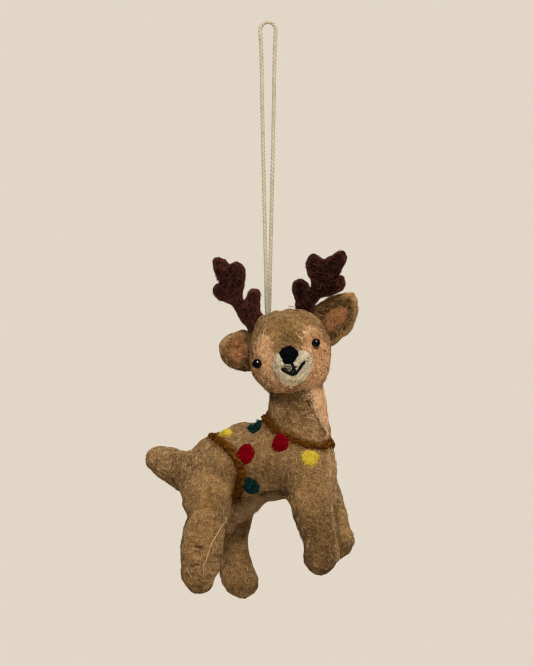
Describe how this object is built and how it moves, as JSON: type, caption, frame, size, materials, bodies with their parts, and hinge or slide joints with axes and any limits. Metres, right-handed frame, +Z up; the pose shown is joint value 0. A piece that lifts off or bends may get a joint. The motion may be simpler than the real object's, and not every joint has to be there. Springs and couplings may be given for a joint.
{
  "type": "felt reindeer hanging ornament",
  "caption": "Stuffed wool-felt reindeer with antlers, a bead-eyed face turned to one side, a yarn garland with felt bulb dots round its body, and a twisted cotton loop to hang it by",
  "frame": {"origin": "inside top of the hanging cord loop, where it bears on whatever carries it", "axes": "+Z up along the hanging cord, +X the reindeer's heading from tail to chest, +Y its left side; the face is turned toward -Y"},
  "size_m": [0.0971, 0.0427, 0.251],
  "materials": {
    "cotton_cord": "twisted natural cotton cord",
    "felt_brown": "tan-brown wool felt with pale stray fibres",
    "felt_peach": "peach wool felt",
    "felt_cream": "cream needle-felted wool",
    "felt_antler": "very dark red-brown wool felt",
    "felt_rust": "rust-pink needle-felted wool",
    "felt_black": "black needle-felted wool",
    "felt_red": "crimson needle-felted wool",
    "felt_yellow": "yellow needle-felted wool",
    "felt_green": "dark teal-green needle-felted wool",
    "yarn_brown": "rust-brown plied wool yarn",
    "wool_fill": "raw wool stuffing",
    "thread_black": "black sewing thread",
    "bead_black": "glossy black bead"
  },
  "bodies": {
    "hang_loop": {"hang_cord_loop": "cotton_cord"},
    "cord_shank": {"hang_cord_shank": "cotton_cord"},
    "cord_end": {"hang_cord_end": "cotton_cord"},
    "reindeer": {"hang_cord_knot": "cotton_cord", "body_cover_right": "felt_brown", "body_cover_left": "felt_brown", "belly_gusset": "felt_brown", "chest_bib": "felt_peach", "body_stuffing": "wool_fill", "leg_cover_hind_right": "felt_brown", "leg_cover_hind_left": "felt_brown", "leg_cover_front_right": "felt_brown", "leg_cover_front_left": "felt_brown", "leg_stuffing_hind_right": "wool_fill", "leg_stuffing_hind_left": "wool_fill", "leg_stuffing_front_right": "wool_fill", "leg_stuffing_front_left": "wool_fill", "head_cover": "felt_brown", "face_mask": "felt_peach", "head_stuffing": "wool_fill", "eye_thread": "thread_black", "eye_bead_right": "bead_black", "eye_bead_left": "bead_black", "mouth_thread": "thread_black", "muzzle": "felt_cream", "nose": "felt_black", "antler_right": "felt_antler", "antler_left": "felt_antler", "ear_right": "felt_brown", "ear_left": "felt_brown", "ear_lining_right": "felt_rust", "ear_lining_left": "felt_rust", "garland_yarn_neck": "yarn_brown", "garland_yarn_waist": "yarn_brown", "bulb_red_flank_right": "felt_red", "bulb_red_shoulder_right": "felt_red", "bulb_yellow_chest_right": "felt_yellow", "bulb_green_flank_right": "felt_green", "bulb_green_back": "felt_green", "bulb_yellow_back": "felt_yellow", "bulb_yellow_flank_left": "felt_yellow", "bulb_green_shoulder_left": "felt_green", "bulb_red_chest_left": "felt_red", "bulb_red_flank_left": "felt_red"}
  },
  "joints": [
    {"name": "cord_spin", "type": "hinge", "parent": "hang_loop", "child": "cord_shank", "pos_m": [0, 0, -0.1138], "axis": [0, 0, 1], "range_deg": [-180, 180]},
    {"name": "cord_sway", "type": "hinge", "parent": "cord_shank", "child": "cord_end", "pos_m": [0, 0, -0.1196], "axis": [0.4695, -0.8829, 0], "range_deg": [-10, 30]},
    {"name": "cord_nod", "type": "hinge", "parent": "cord_end", "child": "reindeer", "pos_m": [0, 0, -0.1245], "axis": [0.8829, 0.4695, 0], "range_deg": [-35, 35]}
  ]
}
